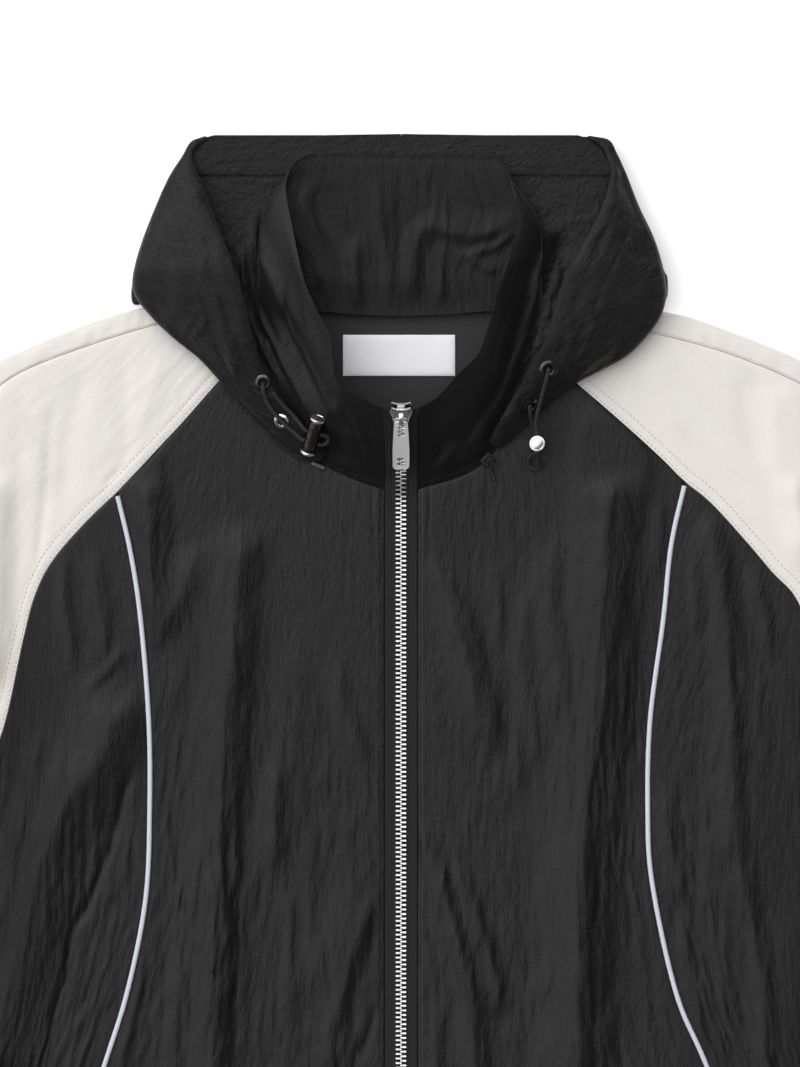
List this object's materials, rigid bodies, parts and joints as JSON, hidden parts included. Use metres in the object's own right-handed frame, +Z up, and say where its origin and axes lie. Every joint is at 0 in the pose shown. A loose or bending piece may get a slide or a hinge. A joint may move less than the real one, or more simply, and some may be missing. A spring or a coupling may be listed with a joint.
{
  "type": "hooded windbreaker jacket",
  "caption": "Lightweight hooded zip-front windbreaker lying flat, with raglan sleeves, piped side panels, a stand collar and a drawcord hood, to rest on a surface.",
  "frame": {"origin": "on the surface the jacket lies on, under the middle of its outline", "axes": "+X from the sleeve on the left as seen from above to the one on the right, +Y from the hem to the hood, +Z up from the surface"},
  "size_m": [1.0476, 0.7906, 0.0487],
  "materials": {
    "black_cloth": "crinkled nylon plain weave, soft sheen",
    "cream_cloth": "crinkled nylon plain weave, matt",
    "piping": "pale satin piping",
    "lining": "smooth dark grey lining",
    "label": "blank satin label",
    "zip_tape": "herringbone woven tape",
    "bright_metal": "polished",
    "dark_metal": "dark nickel",
    "coil_plastic": "coil zip",
    "drawcord": "round elastic cord, woven sleeve"
  },
  "bodies": {
    "jacket": {"back_panel": "black_cloth", "front_center_left": "black_cloth", "front_center_right": "black_cloth", "front_side_left": "black_cloth", "front_side_right": "black_cloth", "sleeve_front_left": "cream_cloth", "sleeve_front_right": "cream_cloth", "sleeve_back_left": "cream_cloth", "sleeve_back_right": "cream_cloth", "piping_left": "piping", "piping_right": "piping", "collar": "black_cloth", "hood_left": "black_cloth", "hood_right": "black_cloth", "hood_facing": "black_cloth", "hood_under": "black_cloth", "back_neck_lining": "lining", "neck_label": "label", "zip_tape_left": "zip_tape", "zip_tape_right": "zip_tape", "zip_chain": "bright_metal", "zip_slider": "bright_metal", "hood_zip_left": "coil_plastic", "hood_zip_end_left": "bright_metal", "hood_zip_slider_right": "dark_metal", "hood_zip_pull_right": "dark_metal", "eyelet_left_upper": "dark_metal", "eyelet_left_lower": "bright_metal", "eyelet_right_upper": "dark_metal", "eyelet_right_lower": "dark_metal", "cord_lock_left": "bright_metal", "cord_lock_right": "bright_metal", "cord_left": "drawcord", "cord_right": "drawcord"},
    "pull_tab": {"zip_pull": "bright_metal"}
  },
  "joints": [
    {"name": "pull_tab_hinge", "type": "hinge", "parent": "jacket", "child": "pull_tab", "pos_m": [0, 0.22182, 0.04288], "axis": [-1, 0, 0], "range_deg": [0, 160]}
  ]
}
